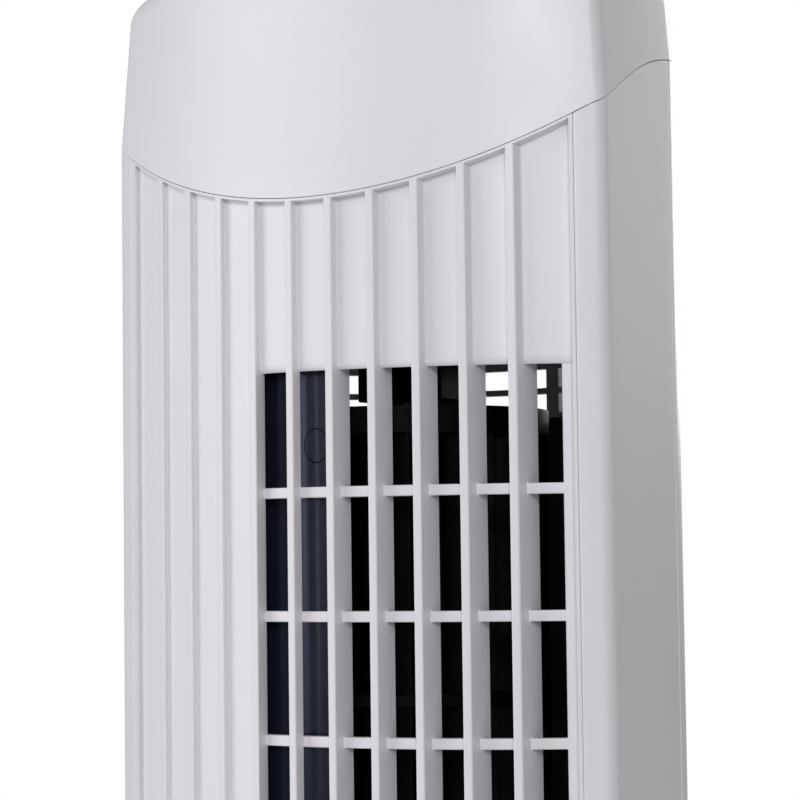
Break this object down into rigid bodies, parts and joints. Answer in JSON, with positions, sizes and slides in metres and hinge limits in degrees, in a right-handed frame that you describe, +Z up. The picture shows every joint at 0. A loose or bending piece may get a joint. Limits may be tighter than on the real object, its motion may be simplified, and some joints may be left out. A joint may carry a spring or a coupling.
{
  "type": "tower fan",
  "caption": "Oscillating tower fan: bowed ribbed front grille over a cross-flow impeller, curved rear intake, push buttons on the cap, round weighted base.",
  "frame": {"origin": "on the floor, on the axis that the tower swings about, at the centre of the round base", "axes": "+Z up, the front grille faces -Y, +X to the right seen from the front"},
  "size_m": [0.27, 0.27, 0.89],
  "materials": {
    "shell_white": "satin",
    "duct_black": "polished",
    "impeller_black": "moulded",
    "control_grey": "fine texture",
    "button_grey": "satin",
    "board_green": "solder mask",
    "rubber_black": "moulded",
    "dark_plastic": "moulded",
    "nylon_natural": "moulded",
    "steel": "zinc plated",
    "weight_iron": "painted black",
    "aluminium": "cast",
    "cable_black": "sleeved"
  },
  "bodies": {
    "base": {"base_cover": "shell_white", "base_weight_plate": "weight_iron", "rubber_foot_1": "rubber_black", "rubber_foot_2": "rubber_black", "rubber_foot_3": "rubber_black", "rubber_foot_4": "rubber_black", "rubber_foot_5": "rubber_black", "base_screw_1": "steel", "base_screw_2": "steel", "base_screw_3": "steel", "base_screw_4": "steel", "pivot_post": "dark_plastic", "swing_yoke": "steel", "cord_gland": "rubber_black", "slide_ring": "nylon_natural", "pivot_retainer": "nylon_natural"},
    "tower": {"turntable": "shell_white", "swing_motor": "aluminium", "front_shell": "shell_white", "rear_shell": "shell_white", "shell_screw_1": "steel", "shell_screw_2": "steel", "shell_screw_3": "steel", "shell_screw_4": "steel", "shell_screw_5": "steel", "shell_screw_6": "steel", "front_grille": "shell_white", "top_cap": "shell_white", "control_panel": "control_grey", "control_board": "board_green", "board_screw_1": "steel", "board_screw_2": "steel", "scroll_wall": "duct_black", "stabiliser_wall": "duct_black", "motor_mount": "duct_black", "bearing_bracket": "duct_black", "bearing_bush": "rubber_black", "bracket_screw_1": "steel", "bracket_screw_2": "steel", "motor_housing": "steel", "motor_cover": "aluminium", "run_capacitor": "dark_plastic", "wiring_loom": "cable_black"},
    "crank": {"swing_crank": "steel"},
    "rotor": {"impeller": "impeller_black", "impeller_pin": "steel", "motor_rotor": "steel"},
    "power_key": {"power_button": "button_grey"},
    "speed_key": {"speed_button": "button_grey"},
    "swing_key": {"swing_button": "button_grey"},
    "timer_key": {"timer_button": "button_grey"}
  },
  "joints": [
    {"name": "tower_swing", "type": "hinge", "parent": "base", "child": "tower", "pos_m": [0, 0, 0.046], "axis": [0, 0, 1], "range_deg": [-35, 35]},
    {"name": "crank_turn", "type": "hinge", "parent": "tower", "child": "crank", "pos_m": [0, 0.028, 0.046], "axis": [0, 0, 1], "range_deg": [-126, 126]},
    {"name": "impeller_spin", "type": "hinge", "parent": "tower", "child": "rotor", "pos_m": [0, -0.004, 0.48], "axis": [0, 0, 1], "continuous": true},
    {"name": "power_press", "type": "slide", "parent": "tower", "child": "power_key", "axis": [0, 0, -1], "range_m": [0, 0.0015], "stiffness_N_per_m": 400},
    {"name": "speed_press", "type": "slide", "parent": "tower", "child": "speed_key", "axis": [0, 0, -1], "range_m": [0, 0.0015], "stiffness_N_per_m": 400},
    {"name": "swing_press", "type": "slide", "parent": "tower", "child": "swing_key", "axis": [0, 0, -1], "range_m": [0, 0.0015], "stiffness_N_per_m": 400},
    {"name": "timer_press", "type": "slide", "parent": "tower", "child": "timer_key", "axis": [0, 0, -1], "range_m": [0, 0.0015], "stiffness_N_per_m": 400}
  ],
  "couplings": [
    {"joint": "crank_turn", "follows": "tower_swing", "ratio": -3.5714}
  ]
}
